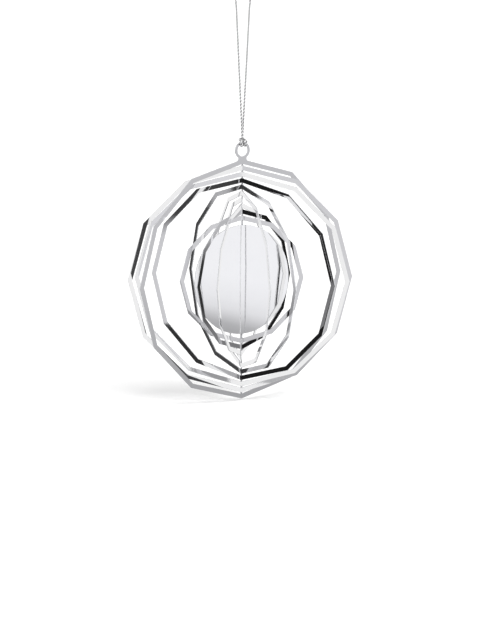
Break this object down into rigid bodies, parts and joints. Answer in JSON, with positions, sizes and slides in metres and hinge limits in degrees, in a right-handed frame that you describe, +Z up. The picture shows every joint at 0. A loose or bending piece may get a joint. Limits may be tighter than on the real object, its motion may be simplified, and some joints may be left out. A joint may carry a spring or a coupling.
{
  "type": "christmas bauble",
  "caption": "Hanging bauble of flat polished twelve-sided rings, one inside the next round a mirror disc, each turned to its own angle, on a doubled silver cord.",
  "frame": {"origin": "inside of the top of the cord's loop, where a hook or twig carries the bauble", "axes": "+Z up along the hanging axis through the necks, X to the viewer's right, Y away from the viewer"},
  "size_m": [0.0933, 0.0704, 0.1715],
  "materials": {
    "rings": "mirror polished sheet",
    "disc": "mirror polished sheet",
    "cord": "twisted metallic yarn"
  },
  "bodies": {
    "cord": {"hanging_cord": "cord"},
    "hitch": {"cord_hitch": "cord"},
    "outer_ring": {"outer_ring": "rings", "neck_01_top": "rings", "neck_01_bottom": "rings"},
    "ring_02": {"ring_02": "rings", "neck_02_top": "rings", "neck_02_bottom": "rings"},
    "ring_03": {"ring_03": "rings", "neck_03_top": "rings", "neck_03_bottom": "rings"},
    "ring_04": {"ring_04": "rings", "neck_04_top": "rings", "neck_04_bottom": "rings"},
    "ring_05": {"ring_05": "rings", "neck_05_top": "rings", "neck_05_bottom": "rings"},
    "ring_06": {"ring_06": "rings", "neck_06_top": "rings", "neck_06_bottom": "rings"},
    "ring_07": {"ring_07": "rings", "neck_07_top": "rings", "neck_07_bottom": "rings"},
    "ring_08": {"ring_08": "rings", "neck_08_top": "rings", "neck_08_bottom": "rings"},
    "ring_09": {"ring_09": "rings", "neck_09_top": "rings", "neck_09_bottom": "rings"},
    "ring_10": {"ring_10": "rings", "neck_10_top": "rings", "neck_10_bottom": "rings"},
    "disc": {"centre_disc": "disc"}
  },
  "joints": [
    {"name": "cord_twist", "type": "hinge", "parent": "cord", "child": "hitch", "pos_m": [0, 0, -0.06068], "axis": [0, 0, 1], "continuous": true},
    {"name": "eyelet_swing", "type": "hinge", "parent": "hitch", "child": "outer_ring", "pos_m": [0, 0, -0.06363], "axis": [0.829, 0.5592, 0], "range_deg": [-30, 30]},
    {"name": "ring_02_turn", "type": "hinge", "parent": "outer_ring", "child": "ring_02", "pos_m": [0, 0, -0.12046], "axis": [0, 0, 1], "range_deg": [-36.1, 83.9]},
    {"name": "ring_03_turn", "type": "hinge", "parent": "ring_02", "child": "ring_03", "pos_m": [0, 0, -0.12046], "axis": [0, 0, 1], "range_deg": [-43.9, 76.1]},
    {"name": "ring_04_turn", "type": "hinge", "parent": "ring_03", "child": "ring_04", "pos_m": [0, 0, -0.12046], "axis": [0, 0, 1], "range_deg": [-40.1, 79.9]},
    {"name": "ring_05_turn", "type": "hinge", "parent": "ring_04", "child": "ring_05", "pos_m": [0, 0, -0.12046], "axis": [0, 0, 1], "range_deg": [-29.9, 90.1]},
    {"name": "ring_06_turn", "type": "hinge", "parent": "ring_05", "child": "ring_06", "pos_m": [0, 0, -0.12046], "axis": [0, 0, 1], "range_deg": [-44.5, 75.5]},
    {"name": "ring_07_turn", "type": "hinge", "parent": "ring_06", "child": "ring_07", "pos_m": [0, 0, -0.12046], "axis": [0, 0, 1], "range_deg": [-48, 72]},
    {"name": "ring_08_turn", "type": "hinge", "parent": "ring_07", "child": "ring_08", "pos_m": [0, 0, -0.12046], "axis": [0, 0, 1], "range_deg": [-35, 85]},
    {"name": "ring_09_turn", "type": "hinge", "parent": "ring_08", "child": "ring_09", "pos_m": [0, 0, -0.12046], "axis": [0, 0, 1], "range_deg": [-37.3, 82.7]},
    {"name": "ring_10_turn", "type": "hinge", "parent": "ring_09", "child": "ring_10", "pos_m": [0, 0, -0.12046], "axis": [0, 0, 1], "range_deg": [-27.5, 92.5]},
    {"name": "disc_turn", "type": "hinge", "parent": "ring_10", "child": "disc", "pos_m": [0, 0, -0.12046], "axis": [0, 0, 1], "range_deg": [-75.2, 44.8]}
  ]
}
